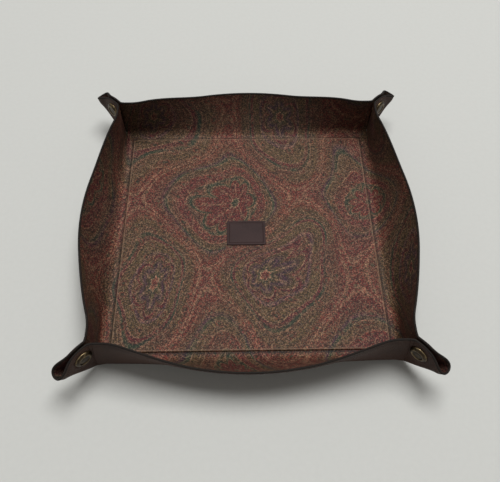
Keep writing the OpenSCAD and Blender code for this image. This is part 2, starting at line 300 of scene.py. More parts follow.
def flowerPlace(tree, kind, local):
    # 0 in the middle of a cell's flower and 1 on the edge of its petals, and 1 on each petal's vein
    x, y = local
    turn = calc(tree, "ARCTAN2", x, times(tree, y, canvas["squeezeTurn"]))
    radius = calc(tree, "SQRT", calc(tree, "ADD", times(tree, x, x), times(tree, y, y, canvas["squeeze"])))
    around = calc(tree, "MULTIPLY", turn, calc(tree, "ADD", kind, canvas["petals"]))
    vein = calc(tree, "ABSOLUTE", calc(tree, "COSINE", around))
    petal = times(tree, calc(tree, "POWER", vein, canvas["petalPoint"]), canvas["petalDepth"])
    reach = times(tree, calc(tree, "ADD", petal, canvas["petalRoot"]), canvas["flower"])
    return calc(tree, "DIVIDE", radius, reach), vein


def printedColour(tree, place):
    bent = vectorCalc(tree, "ADD", place, wander(tree, place, canvas["driftScale"], canvas["drift"] * 2))
    bent = vectorCalc(tree, "ADD", bent, wander(tree, place, canvas["wobbleScale"], canvas["wobble"]))
    ring, kind, local = latticeCell(tree, bent)
    colour = bands(tree, ring, kind, "Cell")
    mood = noise(tree, place, canvas["moodScale"], 2.0).outputs["Fac"]
    colour = toward(tree, colour, times(tree, soften(tree, mood, 0.50, 0.60), canvas["mood"]), "wine")
    colour = toward(tree, colour, times(tree, soften(tree, mood, 0.47, 0.38), canvas["mood"]), "olive")

    # small florets strewn over the ground, and a flower of pointed petals in each cell
    floret = times(tree, cells(tree, bent, 1 / canvas["floretPitch"], 0.75).outputs["Distance"],
                   canvas["floretPitch"])
    colour = toward(tree, colour, times(tree, soften(tree, floret, 2.9, 2.3), 0.5), "brick")
    colour = toward(tree, colour, times(tree, soften(tree, floret, 1.3, 0.9), 0.75), "moss")
    bloom, vein = flowerPlace(tree, kind, local)
    inFlower = soften(tree, bloom, 1.02, 0.97)
    colour = blendColours(tree, inFlower, colour, bands(tree, bloom, kind, "Flower"))

    # fine light lines: borders, petal veins, contours that follow the bands, and curls
    outside = calc(tree, "SUBTRACT", 1.0, inFlower)
    borders = most(tree, *(thinLine(tree, ring, middle, half) for middle, half in canvas["borders"]))
    petalLines = most(tree, thinLine(tree, bloom, 0.88, 0.035), thinLine(tree, bloom, 1.08, 0.04),
                      times(tree, soften(tree, vein, 0.955, 0.985), soften(tree, bloom, 0.72, 0.66)))
    contour = calc(tree, "FRACT", times(tree, ring, canvas["contours"]))
    swirl = noise(tree, bent, canvas["curlScale"], 1.0, 0.5, canvas["curlTwist"]).outputs["Fac"]
    curls = thinLine(tree, calc(tree, "FRACT", times(tree, swirl, canvas["curls"])), 0.5, 0.16)
    patch = soften(tree, noise(tree, place, canvas["patchScale"], 1.0).outputs["Fac"], 0.45, 0.55)
    plain = calc(tree, "SUBTRACT", 1.0, times(tree, patch, 0.7))
    follow = times(tree, thinLine(tree, contour, 0.5, 0.17), plain)
    lines = most(tree, times(tree, borders, outside), petalLines,
                 times(tree, follow, outside, canvas["fineLine"]),
                 times(tree, curls, patch, outside, canvas["fineLine"]),
                 times(tree, thinLine(tree, floret, canvas["floretRing"], 0.4), outside, 0.7))
    broken = remap(tree, noise(tree, place, canvas["wearScale"], 2.0).outputs["Fac"], 0.38, 0.60, 0.12, 0.62)
    return toward(tree, colour, times(tree, lines, broken), "tan")


def makeCanvas():
    material, tree, shader = newMaterial("liningCanvas")
    place = flatPlace(tree)
    colour = printedColour(tree, place)

    # threads: a plain weave under the coating, each crossing a little redder or greener, and painted lighter
    # or darker, the few bright ones as painted glints of the coating
    x, y, _ = parts(tree, place)
    step = math.pi / canvas["thread"]
    weave = times(tree, calc(tree, "SINE", times(tree, x, step)), calc(tree, "SINE", times(tree, y, step)))
    crossing = cells(tree, place, 1 / canvas["thread"], canvas["crossing"])
    chance, paintedGlintChance, tintChance = splitColour(tree, crossing.outputs["Color"])
    cloud = noise(tree, place, canvas["cloudScale"], 3.0, 0.6).outputs["Fac"]
    paintedGlint = remap(tree, calc(tree, "POWER", chance, canvas["paintedGlintPower"]), 0, 1,
                  canvas["dimPaintedGlint"], canvas["brightPaintedGlint"])
    light = calc(tree, "ADD", paintedGlint, remap(tree, cloud, 0.3, 0.7, -canvas["cloud"], canvas["cloud"]))
    light = calc(tree, "ADD", light, times(tree, weave, 0.08))
    colour = vectorCalc(tree, "SCALE", colour, scale=light)
    tint = vectorCalc(tree, "SCALE", ramp(tree, tintChance, canvas["tints"]), scale=canvas["tintLight"])
    colour = blendColours(tree, canvas["tintShare"], colour, tint, "MULTIPLY")
    # painted glints: a few crossings drawn toward tan
    colour = toward(tree, colour, times(tree, soften(tree, paintedGlintChance, 0.80, 0.90), canvas["paintedTanGlint"]), "tan")

    # painted shade in the pressed line round the base and on the walls and ears outside it, and a painted
    # highlight on the line's shoulder
    farX, farY = calc(tree, "ABSOLUTE", x), calc(tree, "ABSOLUTE", y)
    far = calc(tree, "SUBTRACT", calc(tree, "MAXIMUM", farX, farY), sheet["pressedLine"])
    near = calc(tree, "SUBTRACT", calc(tree, "MINIMUM", farX, farY), sheet["pressedLine"])
    onBase = soften(tree, near, 0.6, 0.0)
    # painted shade darkens the pressed line round the base
    pressed = times(tree, soften(tree, calc(tree, "ABSOLUTE", far), 1.2, 0.5), onBase, canvas["groovePaintedShade"])
    # painted highlight on the pressed line's shoulder, drawn toward tan
    shoulder = times(tree, thinLine(tree, far, -canvas["shoulderHighlightIn"], 0.8), onBase, canvas["shoulder"])
    # painted shade: walls darker than the base, ears darker still
    shade = calc(tree, "ADD", times(tree, soften(tree, far, 3.0, 11.0), canvas["wallPaintedShade"]),
                 times(tree, soften(tree, near, 5.5, 10.0), canvas["earPaintedShade"] - canvas["wallPaintedShade"]))
    colour = toward(tree, colour, shoulder, "tan")
    colour = blendColours(tree, most(tree, pressed, shade), colour, (0, 0, 0, 1))
    plug(tree, colour, shader.inputs["Base Color"])
    plug(tree, remap(tree, cloud, 0.3, 0.7, canvas["smooth"], canvas["rough"]), shader.inputs["Roughness"])
    shader.inputs["Specular IOR Level"].default_value = canvas["specular"]
    height = calc(tree, "ADD", times(tree, weave, 0.5), times(tree, cloud, 1.4))
    plug(tree, bump(tree, height, canvas["depth"], 0.8), shader.inputs["Normal"])
    return material


hide = {
    "dark": (34, 22, 17), "light": (66, 44, 35),
    "grain": 1.15, "depth": 0.00024,  # size of the pebbles in the grain, and their height
    "rough": 0.50,
}
labelHide = {
    "dark": (36, 23, 23), "light": (55, 38, 37),
    "grain": 0.7, "depth": 0.00005, "rough": 0.55,
}
allHides = {"cloudScale": 0.035, "poreScale": 2.6, "swayScale": 0.5, "sway": 0.8, "specular": 0.17}


def makeHide(name, finish):
    material, tree, shader = newMaterial(name)
    place = flatPlace(tree)
    sway = noise(tree, place, allHides["swayScale"], 2.0).outputs["Color"]
    sway = vectorCalc(tree, "SCALE", sway, scale=allHides["sway"])
    pebbles = cells(tree, vectorCalc(tree, "ADD", place, sway), 1 / finish["grain"], 0.9, "DISTANCE_TO_EDGE")
    pebble = soften(tree, pebbles.outputs["Distance"], 0.0, 0.22)
    cloud = noise(tree, place, allHides["cloudScale"], 3.0, 0.6).outputs["Fac"]
    pores = noise(tree, place, allHides["poreScale"], 3.0, 0.65).outputs["Fac"]
    tone = calc(tree, "ADD", times(tree, cloud, 0.9), times(tree, pebble, 0.25))
    tone = calc(tree, "ADD", tone, times(tree, pores, 0.60))
    colour = ramp(tree, tone, [(0.62, finish["dark"]), (1.02, finish["light"])])
    plug(tree, colour, shader.inputs["Base Color"])
    rough = finish["rough"]
    plug(tree, remap(tree, pores, 0.3, 0.7, rough - 0.07, rough + 0.09), shader.inputs["Roughness"])
    shader.inputs["Specular IOR Level"].default_value = allHides["specular"]
    height = calc(tree, "ADD", times(tree, pebble, 0.7), times(tree, pores, 0.6))
    plug(tree, bump(tree, height, finish["depth"], 0.8), shader.inputs["Normal"])
    return material


edgePaint = {
    "dark": (18, 14, 12), "light": (34, 27, 23),
    "strokeScale": 0.35, "depth": 0.00015, "smooth": 0.60, "rough": 0.78, "specular": 0.16,
}


def makeEdgePaint():
    material, tree, shader = newMaterial("edgePaint")
    strokes = noise(tree, flatPlace(tree), edgePaint["strokeScale"], 3.0, 0.6).outputs["Fac"]
    colour = ramp(tree, strokes, [(0.35, edgePaint["dark"]), (0.65, edgePaint["light"])])
    plug(tree, colour, shader.inputs["Base Color"])
    rough = remap(tree, strokes, 0.3, 0.7, edgePaint["smooth"], edgePaint["rough"])
    plug(tree, rough, shader.inputs["Roughness"])
    shader.inputs["Specular IOR Level"].default_value = edgePaint["specular"]
    plug(tree, bump(tree, strokes, edgePaint["depth"], 0.6), shader.inputs["Normal"])
    return material


brass = {
    "bright": (182, 158, 118), "aged": (50, 42, 33),
    "stainScale": 420.0, "brushScale": 900.0, "brushStretch": (1.0, 1.0, 9.0),
    "depth": 0.00002, "smooth": 0.26, "rough": 0.42,
}


def makeBrass():
    material, tree, shader = newMaterial("agedBrass")
    spot = tree.nodes.new("ShaderNodeTexCoord").outputs["Object"]
    stain = noise(tree, spot, brass["stainScale"], 4.0, 0.6).outputs["Fac"]
    stretched = vectorCalc(tree, "MULTIPLY", spot, brass["brushStretch"])
    brushed = noise(tree, stretched, brass["brushScale"], 2.0).outputs["Fac"]
    geometry = tree.nodes.new("ShaderNodeNewGeometry")
    worn = soften(tree, geometry.outputs["Pointiness"], 0.50, 0.60)  # high edges are rubbed bright
    age = calc(tree, "ADD", times(tree, stain, 0.6), times(tree, worn, 0.60))
    plug(tree, ramp(tree, age, [(0.32, brass["aged"]), (0.85, brass["bright"])]), shader.inputs["Base Color"])
    shader.inputs["Metallic"].default_value = 1.0
    plug(tree, remap(tree, stain, 0.3, 0.7, brass["smooth"], brass["rough"]), shader.inputs["Roughness"])
    plug(tree, bump(tree, brushed, brass["depth"], 0.5), shader.inputs["Normal"])
    return material


board = {
    "dark": (128, 104, 74), "light": (166, 142, 108),
    "fibreScale": 260.0, "fibreStretch": (1.0, 4.0, 1.0), "depth": 0.0001, "rough": 0.85,
}


def makeBoard():
    material, tree, shader = newMaterial("fibreBoard")
    spot = tree.nodes.new("ShaderNodeTexCoord").outputs["Object"]
    stretched = vectorCalc(tree, "MULTIPLY", spot, board["fibreStretch"])
    fibres = noise(tree, stretched, board["fibreScale"], 4.0, 0.7).outputs["Fac"]
    plug(tree, ramp(tree, fibres, [(0.3, board["dark"]), (0.7, board["light"])]), shader.inputs["Base Color"])
    shader.inputs["Roughness"].default_value = board["rough"]
    plug(tree, bump(tree, fibres, board["depth"], 0.5), shader.inputs["Normal"])
    return material


canvasFinish = makeCanvas()
hideFinish = makeHide("outerLeather", hide)
labelFinish = makeHide("labelLeather", labelHide)
paintFinish = makeEdgePaint()
brassFinish = makeBrass()
boardFinish = makeBoard()
print("materials made")


# the sheet's shape: the same curves as the solids follow
edge = {
    "pareShare": 0.66, "pareWidth": 5.0,  # thickness left at the cut edge, and where the skiving starts
    "height": 0.42,  # how far the painted bead stands past the cut sheet
    # depth in the sheet and height past its cut
    "profile": [(-0.06, -0.70), (-0.09, -0.28), (-0.02, 0.06), (0.24, 0.33), (0.62, 0.42), (1.02, 0.33),
                (1.28, 0.06), (1.35, -0.28), (1.32, -0.70), (1.00, -0.55), (0.25, -0.55)],
}
bend = {"crease": 95.0, "radius": 8.0, "angle": quarter}
wall = {
    "bow": 17.5, "bowShare": 0.89, "bowSoft": 0.07,  # the rim's bow, its share of the wall, its soft end
    "midHeight": 26.3, "endHeight": 33.2,
    "riseFrom": 0.34, "riseTo": 0.85,  # the rim rises between these shares of the wall
    "belly": 1.6,  # the wall swells outward at half its height
    "softFold": 3.5, "softEnd": 6.0,  # the fold is rounded this far beside its line, less at the ends
    "mitreBelow": 0.3,  # the corners are mitred from just under the fold
    "wave": 0.14, "waveX": 21.0, "waveY": 17.0, "waveAcross": 12.0,  # height and lengths of slow waves
    "phaseX": 1.3, "phaseY": 0.4, "acrossShare": 0.4,
    "calmFoot": 5.0, "calmFootRun": 12.0, "calmEnd": 8.0, "calmEndRun": 25.0,  # no waves near fold and ends
    "columns": 121,
    "rowsBelow": [5.7, 5.0, 4.3, 3.6, 3.0, 2.4, 1.8, 1.2, 0.6],  # rows of points in the bend
    "rowsAbove": [0, 0.018, 0.036, 0.055, 0.075, 0.10, 0.13, 0.17],  # and in the wall's foot, as shares
    "rowsEven": (0.22, 1, 17),
    "blendFrom": -0.9, "blendTo": 1.6,  # ends of a width beside the wall's hinge line; their points are worked out but nothing is bent over them
}
ear = {
    "length": 35.5, "angle": math.radians(47),  # from the corner point to the tip, and its lean
    "pinch": 0.9, "cornerRadius": 6.5,  # half the gap between the flanks, and the bend into them
    "loop": 3.6, "loopStart": 6.0,  # radius of the open loop, and where it starts to open
    "snapOut": 6.4, "snapUp": 23.3,  # the snap's place from the corner point
    # the flat seat pressed by the snap, its soft edge, and its start beyond the corner point
    "seatGap": 0.63, "seatRadius": 6.9, "seatEdge": 9.0, "seatFrom": 1.5, "seatBlend": 1.8,
    "swell": 0.45, "swellRadius": 8.0, "swellWidth": 1.7, "swellFrom": 4.0,
    "split": 24.0,  # the flank hands over to the loop here, measured along the rim
    "rows": [0.02, 0.035, 0.055, 0.08, 0.11, 0.15, 0.19],  # rows crowded toward the corner point, as shares
    "rowsEven": (0.235, 1, 27),
    "bendColumns": 15, "flankColumns": 26, "loopColumns": 15,
    "flankBlend": 2.6, "tipBlend": 1.4,  # widths beside each hinge; the points at their ends are worked out but nothing is bent over them
}
hair = 0.03  # width of the end columns, so fine that neighbours shade as one surface
slopeStep = 0.05  # half the length over which slopes are measured
bendLength = bend["radius"] * bend["angle"]
fold = bend["crease"] + bend["radius"] * math.sin(bend["angle"])
foldHeight = sheet["thickness"] + bend["radius"] * (1 - math.cos(bend["angle"]))
flatFold = bend["crease"] + bendLength
corner = np.array([fold, fold, foldHeight])
startGap = ear["pinch"] + ear["cornerRadius"] * (1 - math.cos(quarter))
cornerDraw = math.sqrt(2) * startGap
straightFrom = ear["cornerRadius"] * math.sin(quarter) - startGap
earBend = ear["cornerRadius"] * quarter
tipOut = ear["length"] * ear["angle"]
loopOut = tipOut - ear["loop"]
loopFrom = earBend + loopOut - straightFrom
ridge = loopFrom + ear["loop"] * math.pi / 2


def ease(t):
    t = np.clip(t, 0, 1)
    return t * t * (3 - 2 * t)


def unit(v):
    return v / np.linalg.norm(v, axis=-1, keepdims=True)


def bow(c):
    # the bow runs out softly near the corners
    u, w = np.abs(c) / wall["bowShare"], wall["bowSoft"]
    runOut = math.pi / 2 * np.clip(1 + w - u, 0, 2 * w) ** 2 / (4 * w)
    return np.where(u < 1 - w, np.cos(np.minimum(u, 1) * math.pi / 2), runOut)


def wallRim(c):
    rise = ease((np.abs(c) - wall["riseFrom"]) / (wall["riseTo"] - wall["riseFrom"]))
    return np.stack([
        c * fold - np.sign(c) * cornerDraw * c * c,
        fold + wall["bow"] * bow(c),
        foldHeight + wall["midHeight"] + (wall["endHeight"] - wall["midHeight"]) * rise], -1)


def wallFoot(c):
    return np.stack([c * fold, np.full_like(c, fold), np.full_like(c, foldHeight)], -1)


def wallLength(c):
    return np.linalg.norm(wallRim(c) - wallFoot(c), axis=-1)


def foldedLine(c, v):
    # v runs up from the fold in millimetres; below it lie the bend and the flat base
    below = np.minimum(v, 0) + bendLength
    a = np.maximum(below, 0) / bend["radius"]
    y = bend["crease"] + bend["radius"] * np.sin(a) + np.minimum(below, 0)
    z = sheet["thickness"] + bend["radius"] * (1 - np.cos(a))
    bent = np.stack([c * y, y, z], -1)
    chord = wallRim(c) - wallFoot(c)
    s = (v / wallLength(c))[..., None]
    outward = unit(np.stack([np.zeros_like(c), chord[..., 2], -chord[..., 1]], -1))
    up = wallFoot(c) + s * chord + 4 * s * (1 - s) * wall["belly"] * bow(c)[..., None] * outward
    return np.where((v < 0)[..., None], bent, up)


def wallSkin(c, v):
    width = np.maximum(wall["softFold"] * ease((1 - np.abs(c)) * fold / wall["softEnd"]), 1e-4)
    t = ((v + width) / (2 * width))[..., None]
    rounded = ((1 - t) ** 2 * foldedLine(c, -width) + 2 * t * (1 - t) * foldedLine(c, 0 * v)
               + t ** 2 * foldedLine(c, width))
    return np.where((np.abs(v) < width)[..., None], rounded, foldedLine(c, v))


def pare(toRim):
    # the sheet is skived thinner toward its cut edge
    return 1 - (1 - edge["pareShare"]) * (1 - ease(toRim / edge["pareWidth"]))


def overlap(t, s):
    # near the corner point the bend into the ear is tighter than the sheet is thick, so its
    # outer faces meet on a line this far from the bend
    return np.maximum(t - ear["cornerRadius"] * s, 0) * math.tan(quarter / 2)


def wallWave(flat, v, c):
    fromEnd = (1 - np.abs(c)) * fold
    calm = (ease((v - wall["calmFoot"]) / wall["calmFootRun"])
            * ease((fromEnd - wall["calmEnd"]) / wall["calmEndRun"]))
    x, y = flat[..., 0], flat[..., 1]
    waves = np.sin(x / wall["waveX"] + wall["phaseX"]) * np.cos(y / wall["waveY"] + wall["phaseY"])
    return wall["wave"] * calm * (waves + wall["acrossShare"] * np.sin((x + y) / wall["waveAcross"]))


def wallFlat(c, v, points):
    x = np.where(v < 0, c * (flatFold + v), points[..., 0] + c * (flatFold - fold))
    return np.stack([x, flatFold + v], -1)


def wallPoints(c, v, t, k):
    # points of wall k at depth t below the lining, with the waves of that wall
    point = wallSkin(c, v)
    up = wallSkin(c, v + slopeStep) - wallSkin(c, v - slopeStep)
    side = wallSkin(c + slopeStep / 100, v) - wallSkin(c - slopeStep / 100, v)
    normal = unit(np.cross(up, side))
    flat = wallFlat(c, v, point)
    t = t * pare(wallLength(c) - v)
    point = point + (t + wallWave(turned(flat, k, 0), v, c))[..., None] * normal
    below = v < -wall["mitreBelow"]
    point[..., 0] += np.where(below, c * t * normal[..., 1], 0)
    s = np.maximum(v, 0) / wall["endHeight"]
    limit = fold - cornerDraw * s - overlap(t, s)
    kept = np.minimum(np.abs(point[..., 0]), limit - 0.02 * (1 - np.abs(c)))
    point[..., 0] = np.where(below, point[..., 0], np.sign(point[..., 0]) * kept)
    return point, flat, normal


def earLine(l):
    a = quarter - np.clip(l, 0, earBend) / ear["cornerRadius"]
    bentOut = straightFrom - ear["cornerRadius"] * np.sin(a)
    bentSide = ear["pinch"] + ear["cornerRadius"] * (1 - np.cos(a))
    x = straightFrom + l - earBend
    opening = ease((x - ear["loopStart"]) / (loopOut - ear["loopStart"]))
    side = ear["pinch"] + (ear["loop"] - ear["pinch"]) * opening
    b = np.maximum(l - loopFrom, 0) / ear["loop"]
    out = np.where(l < earBend, bentOut, np.where(l < loopFrom, x, loopOut + ear["loop"] * np.sin(b)))
    gap = np.where(l < earBend, bentSide, np.where(l < loopFrom, side, ear["loop"] * np.cos(b)))
    before = np.minimum(l, 0)
    return out + before * math.cos(quarter), gap - before * math.sin(quarter)


def earRim(l):
    out, gap = earLine(l)
    length = wall["endHeight"] + (ear["length"] - wall["endHeight"]) * np.clip(out / tipOut, 0, 1)
    a = out / tipOut * ear["angle"]
    return length * np.sin(a), length * np.cos(a), gap


def earSkin(l, s):
    out, high, gap = (s * part for part in earRim(l))
    away = np.hypot(out - ear["snapOut"], high - ear["snapUp"]) - ear["seatRadius"]
    pressed = (1 - ease(away / ear["seatEdge"])) * ease((s * l - ear["seatFrom"]) / ear["seatBlend"])
    gap = gap + (ear["seatGap"] - gap) * pressed
    return corner + out[..., None] * outDir + high[..., None] * upDir + gap[..., None] * sideDir


def earUp(l, s):
    return earSkin(l, s * 1.002) - earSkin(l, s * 0.998)


def earPoints(l, s, t):
    point = earSkin(l, s)
    side = earSkin(l + slopeStep, s) - earSkin(l - slopeStep, s)
    normal = unit(np.cross(earUp(l, s), side))
    out, high, gap = earRim(l)
    rulingLength = np.sqrt(out ** 2 + high ** 2 + gap ** 2)
    first = earRim(np.array(0.0))
    start = math.pi / 2 + math.atan2(cornerDraw, float(first[1]))
    angle = start + (quarter - start) * np.clip(l / ridge, 0, 1)
    fromCorner = s * rulingLength
    flat = flatFold + np.stack([fromCorner * np.cos(angle), fromCorner * np.sin(angle)], -1)
    t = t * pare((1 - s) * rulingLength)
    # leather swells a little round the pressed seat of the snap
    away = np.hypot(s * out - ear["snapOut"], s * high - ear["snapUp"])
    swell = ear["swell"] * np.exp(-((away - ear["swellRadius"]) / ear["swellWidth"]) ** 2)
    swell = swell * (t > 1) * ease(s * l / ear["swellFrom"])
    outer = point + (t + swell)[..., None] * normal
    # past the tight bend the outer faces start on the line where they meet
    atBendEnd = np.full_like(l, earBend)
    bendEnd = earSkin(atBendEnd, s)
    forward = unit(earSkin(atBendEnd + 0.5, s) - bendEnd)
    straightNormal = unit(np.cross(earUp(atBendEnd, s), forward))
    meet = overlap(t, s)
    past = s * (l - earBend)
    start = bendEnd + (meet + 0.03 * s * l)[..., None] * forward + t[..., None] * straightNormal
    outer = np.where(((past < meet) & (meet > 0))[..., None], start, outer)
    return outer, flat, normal


def turned(points, k, flip):
    # from the back wall's right end to end flip of wall k
    points = np.array(points, float)
    if flip:
        points[..., 0] = -points[..., 0]
    c, s = [(1, 0), (0, 1), (-1, 0), (0, -1)][k]
    x, y = points[..., 0].copy(), points[..., 1].copy()
    points[..., 0], points[..., 1] = c * x - s * y, s * x + c * y
    return points


def finishMesh(name, points, faces, flat, material, sharp=50):
    mesh = bpy.data.meshes.new(name)
    mesh.from_pydata((np.asarray(points) * mm).tolist(), [], faces)
    work = bmesh.new()
    work.from_mesh(mesh)
    bmesh.ops.recalc_face_normals(work, faces=work.faces)
    work.to_mesh(mesh)
    work.free()
    sheetMap = mesh.uv_layers.new(name="sheet")
    places = np.asarray(flat) / sheet["uvSpan"] + 0.5
    order = np.zeros(len(mesh.loops), int)
    mesh.loops.foreach_get("vertex_index", order)
    sheetMap.data.foreach_set("uv", places[order].astype(np.float32).ravel())
    mesh.materials.append(material)
    mesh.shade_smooth()
    mesh.set_sharp_from_angle(angle=math.radians(sharp))
    piece = bpy.data.objects.new(name, mesh)
    bpy.context.scene.collection.objects.link(piece)
    return piece


def pointNumbers(points):
    return np.arange(points.shape[0] * points.shape[1]).reshape(points.shape[:2])


def layer(name, inner, outer, flat, material):
    # closed sheet between two grids of points
    grid = pointNumbers(inner)
    count = grid.size
    face = np.stack([grid[:-1, :-1], grid[1:, :-1], grid[1:, 1:], grid[:-1, 1:]], -1).reshape(-1, 4)
    rim = np.concatenate([grid[:, 0], grid[-1, 1:], grid[-2::-1, -1], grid[0, -2:0:-1]])
    after = np.roll(rim, -1)
    sides = np.stack([rim, after, after + count, rim + count], -1)
    faces = face[:, ::-1].tolist() + (face + count).tolist() + sides.tolist()
    points = np.concatenate([inner.reshape(-1, 3), outer.reshape(-1, 3)])
    places = np.concatenate([flat.reshape(-1, 2)] * 2)
    return finishMesh(name, points, faces, places, material)


def bead(name, foot, normal, along, flat):
    # painted edge: one rounded tube along the cut rim
    depth = np.array([p[0] for p in edge["profile"]])
    high = np.array([p[1] for p in edge["profile"]])
    points = foot[:, None] + depth[None, :, None] * normal[:, None] + high[None, :, None] * along[:, None]
    grid = pointNumbers(points)
    nextRow = np.roll(grid, -1, 1)
    faces = np.stack([grid[:-1], grid[1:], nextRow[1:], nextRow[:-1]], -1).reshape(-1, 4).tolist()
    faces += [grid[0, ::-1].tolist(), grid[-1].tolist()]
    places = (flat[:, None] + np.stack([np.zeros_like(high), high], -1)[None]).reshape(-1, 2)
    return finishMesh(name, points.reshape(-1, 3), faces, places, paintFinish, 70)


base = {
    "join": sheet["pressedLine"],  # the base piece ends in the pressed line's groove
    "padHalf": 93.75, "padRadius": 4.5, "padHeight": 1.3,
    "shoulderFrom": 0.15, "shoulder": 0.75,  # where and how fast the lining drops off the board
    "edgeSteps": [0, 0.04, 0.15, 0.3, 0.45, 0.6, 0.75, 0.9, 1.05, 1.2, 1.4, 1.7, 2.2, 3.0, 4.0, 5.5, 7.5],
    "evenFrom": 10.5, "evenSteps": 56,
}


def makeBase():
    fineSteps = np.array(base["edgeSteps"])
    middle = np.linspace(base["evenFrom"] - base["join"], base["join"] - base["evenFrom"], base["evenSteps"])
    line = np.concatenate([-base["join"] + fineSteps, middle, (base["join"] - fineSteps)[::-1]])
    x, y = np.meshgrid(line, line, indexing="ij")
    pastX, pastY = (np.abs(part) - base["padHalf"] + base["padRadius"] for part in (x, y))
    outside = np.hypot(np.maximum(pastX, 0), np.maximum(pastY, 0)) + np.minimum(np.maximum(pastX, pastY), 0)
    outside = outside - base["padRadius"]
    lift = base["padHeight"] * ease((base["shoulderFrom"] - outside) / base["shoulder"])
    flat = np.stack([x, y], -1)
    top = np.stack([x, y, sheet["thickness"] + lift], -1)
    below = np.stack([x, y, sheet["thickness"] - sheet["lining"] + lift], -1)
    seam = np.stack([x, y, np.full_like(x, sheet["thickness"] - sheet["lining"])], -1)
    floor = np.stack([x, y, np.zeros_like(x)], -1)
    lining = layer("baseLining", top, below, flat, canvasFinish)
    leather = layer("baseLeather", seam, floor, flat, hideFinish)
    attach(lining, "base")
    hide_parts("base_lining")
    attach(leather, "base")
    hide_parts("base_leather")


makeBase()
print("base made")


def endSteps(low, high, count):
    # even steps with a hair-fine one at each end
    steps = np.linspace(low, high, count)
    fine = hair * (steps[1] - steps[0])
    return np.concatenate([[low], [low + fine], steps[1:-1], [high - fine], [high]])


def makeWall(k):
    name = wallNames[k]
    c = endSteps(-1, 1, wall["columns"])
    rim = wallLength(c) - edge["height"]
    onBase = bendLength + np.array([bend["crease"] - base["join"], 0.3, 0.05])
    down = -np.concatenate([onBase, wall["rowsBelow"]])
    share = np.concatenate([wall["rowsAbove"], np.linspace(*wall["rowsEven"])])
    v = np.concatenate([np.repeat(down[None], len(c), 0), rim[:, None] * share[None]], 1)
    cc = np.repeat(c[:, None], v.shape[1], 1)
    grids = {}
    for t in (0.0, sheet["lining"], sheet["thickness"]):
        points, flat, _ = wallPoints(cc, v, t, k)
        grids[t] = turned(points, k, 0)
    flat = turned(flat, k, 0)
    inside, middle, outside = grids.values()
    lining = layer(f"wallLining_{name}", inside, middle, flat, canvasFinish)
    leather = layer(f"wallLeather_{name}", middle, outside, flat, hideFinish)
    foot, rimFlat, rimNormal = wallPoints(c, rim, 0.0, k)
    along = unit(wallPoints(c, rim + 0.3, 0.0, k)[0] - foot)
    paint = bead(f"wallEdge_{name}", turned(foot, k, 0), turned(rimNormal, k, 0), turned(along, k, 0),
                 turned(rimFlat, k, 0))
    rise = np.array([0, math.cos(quarter), math.sin(quarter)])
    line = np.array([0, fold, foldHeight])
    start, end = (turned(line + rise * d, k, 0) * mm for d in (wall["blendFrom"], wall["blendTo"]))
    for piece in (lining, leather, paint):
        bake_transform(piece)
    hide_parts(f"wall_{name}_lining")
    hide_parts(f"wall_{name}_leather")


for k in range(4):
    makeWall(k)
print("walls made")


# each corner has two flanks, and the loop that joins them
def neighbour(k, flip):
    return wallNames[(k + 3 + 2 * flip) % 4]


def cornerName(k, flip):
    return f"{wallNames[k]}_{neighbour(k, flip)}" if k % 2 == 0 else f"{neighbour(k, flip)}_{wallNames[k]}"


def carriesCap(k, flip):
    return k == 2 or (k != 0 and neighbour(k, flip) == "back")


def earGrids(l, k, flip):
    # rows stop short of the rim for the painted edge
    out, high, gap = earRim(l)
    share = np.concatenate([ear["rows"], np.linspace(*ear["rowsEven"])])
    s = share[None] * (1 - edge["height"] / np.sqrt(out ** 2 + high ** 2 + gap ** 2))[:, None]
    ll = np.repeat(l[:, None], s.shape[1], 1)
    grids = {}
    for t in (0.0, sheet["lining"], sheet["thickness"]):
        points, flat, _ = earPoints(ll, s, t)
        grids[t] = turned(points, k, flip)
    last = s[:, -1]
    foot, rimFlat, rimNormal = earPoints(l, last, 0.0)
    along = unit(earPoints(l, last + 0.01, 0.0)[0] - foot)
    rim = [turned(part, k, flip) for part in (foot, rimNormal, along, rimFlat)]
    return grids, turned(flat, k, flip), rim


def earPiece(kind, l, k, flip, start, end):
    tag = f"{wallNames[k]}_at_{neighbour(k, flip)}"
    grids, flat, rim = earGrids(l, k, flip)
    inside, middle, outside = grids.values()
    lining = layer(f"{kind}Lining_{tag}", inside, middle, flat, canvasFinish)
    leather = layer(f"{kind}Leather_{tag}", middle, outside, flat, hideFinish)
    paint = bead(f"{kind}Edge_{tag}", *rim)
    start, end = turned(start, k, flip) * mm, turned(end, k, flip) * mm
    for piece in (lining, leather, paint):
        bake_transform(piece)
    return lining, leather


